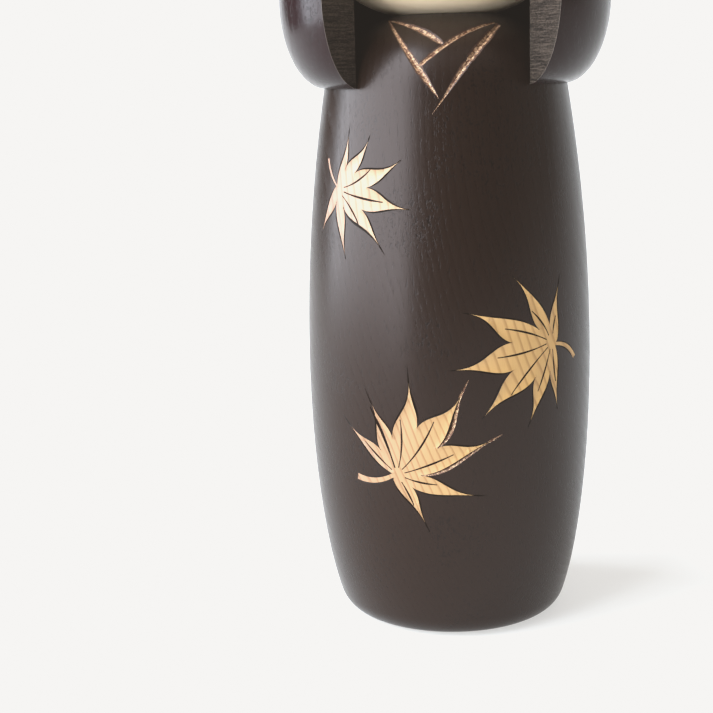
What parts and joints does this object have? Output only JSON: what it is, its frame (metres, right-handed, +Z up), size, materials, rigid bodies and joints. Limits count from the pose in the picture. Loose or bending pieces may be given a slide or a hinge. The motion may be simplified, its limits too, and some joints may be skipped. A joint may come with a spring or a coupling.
{
  "type": "kokeshi doll",
  "caption": "Turned wooden doll: barrel-shaped stained body with carved maple leaves and collar, pale ball head that turns on a dowel, bell of dark hair sawn open at the face",
  "frame": {"origin": "centre of the flat foot, on the surface the doll stands on", "axes": "+Z up along the turning axis, the doll faces -Y"},
  "size_m": [0.103, 0.0971, 0.2569],
  "materials": {
    "stained_wood": "near-black brown stain under a satin finish, carvings cut through to pale wood",
    "face_wood": "pale close-grained wood, waxed",
    "hair_wood": "near-black stain, satin outside, matte where sawn",
    "dowel_wood": "bare wood"
  },
  "bodies": {
    "torso": {"body": "stained_wood"},
    "head_group": {"head": "face_wood", "hair": "hair_wood", "neck_peg": "dowel_wood", "crown_peg": "dowel_wood"}
  },
  "joints": [
    {"name": "head_turn", "type": "hinge", "parent": "torso", "child": "head_group", "pos_m": [0, 0, 0.192], "axis": [0, 0, 1], "continuous": true}
  ]
}
